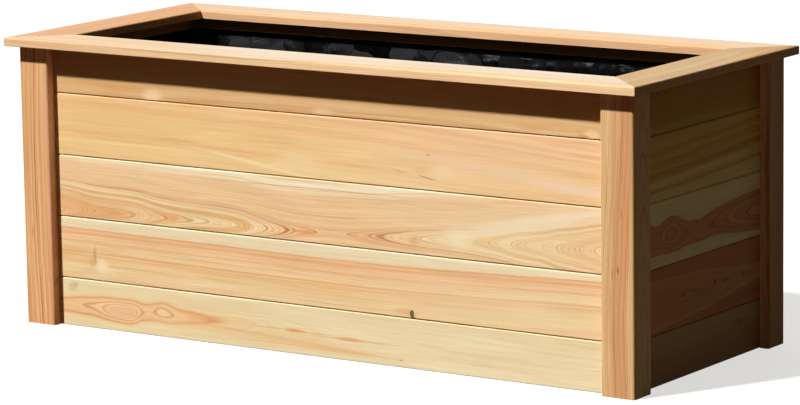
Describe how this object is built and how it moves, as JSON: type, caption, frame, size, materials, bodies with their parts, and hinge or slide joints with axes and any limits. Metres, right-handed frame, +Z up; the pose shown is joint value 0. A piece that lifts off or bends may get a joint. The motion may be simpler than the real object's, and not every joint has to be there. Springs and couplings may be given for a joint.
{
  "type": "lined wooden raised bed planter",
  "caption": "Rectangular raised bed planter box: horizontal tongue-and-groove boards between square corner posts, a mitred overhanging rim, a slatted floor and a black foil liner.",
  "frame": {"origin": "on the ground, centred under the box", "axes": "+X along the box's length, -Y out of its front, +Z up"},
  "size_m": [1, 0.43, 0.4],
  "materials": {
    "wall_board_timber": "planed untreated larch with growth-ring figure, satin",
    "post_timber": "planed untreated larch, upright grain, rounded edges, satin",
    "rim_timber": "planed untreated larch, long even grain, rounded edges, satin",
    "batten_timber": "planed softwood, matt",
    "floor_timber": "sawn softwood, matt",
    "liner_foil": "thin black polyethylene foil, semi-gloss, creased",
    "fixing_steel": "dull stainless pan-head screws and small flat pins, satin"
  },
  "bodies": {
    "root": {"front_board_1": "wall_board_timber", "front_board_2": "wall_board_timber", "front_board_3": "wall_board_timber", "front_board_4": "wall_board_timber", "front_board_5": "wall_board_timber", "back_board_1": "wall_board_timber", "back_board_2": "wall_board_timber", "back_board_3": "wall_board_timber", "back_board_4": "wall_board_timber", "back_board_5": "wall_board_timber", "left_board_1": "wall_board_timber", "left_board_2": "wall_board_timber", "left_board_3": "wall_board_timber", "left_board_4": "wall_board_timber", "left_board_5": "wall_board_timber", "right_board_1": "wall_board_timber", "right_board_2": "wall_board_timber", "right_board_3": "wall_board_timber", "right_board_4": "wall_board_timber", "right_board_5": "wall_board_timber", "post_front_left": "post_timber", "post_front_right": "post_timber", "post_back_left": "post_timber", "post_back_right": "post_timber", "rim_front": "rim_timber", "rim_back": "rim_timber", "rim_left": "rim_timber", "rim_right": "rim_timber", "rim_batten_front": "batten_timber", "rim_batten_back": "batten_timber", "rim_batten_left": "batten_timber", "rim_batten_right": "batten_timber", "floor_bearer_front": "floor_timber", "floor_bearer_back": "floor_timber", "floor_slat_1": "floor_timber", "floor_slat_2": "floor_timber", "floor_slat_3": "floor_timber", "floor_slat_4": "floor_timber", "floor_slat_5": "floor_timber", "floor_slat_6": "floor_timber", "floor_slat_7": "floor_timber", "floor_slat_8": "floor_timber", "floor_slat_9": "floor_timber", "floor_slat_10": "floor_timber", "foil_liner": "liner_foil"}
  },
  "joints": []
}
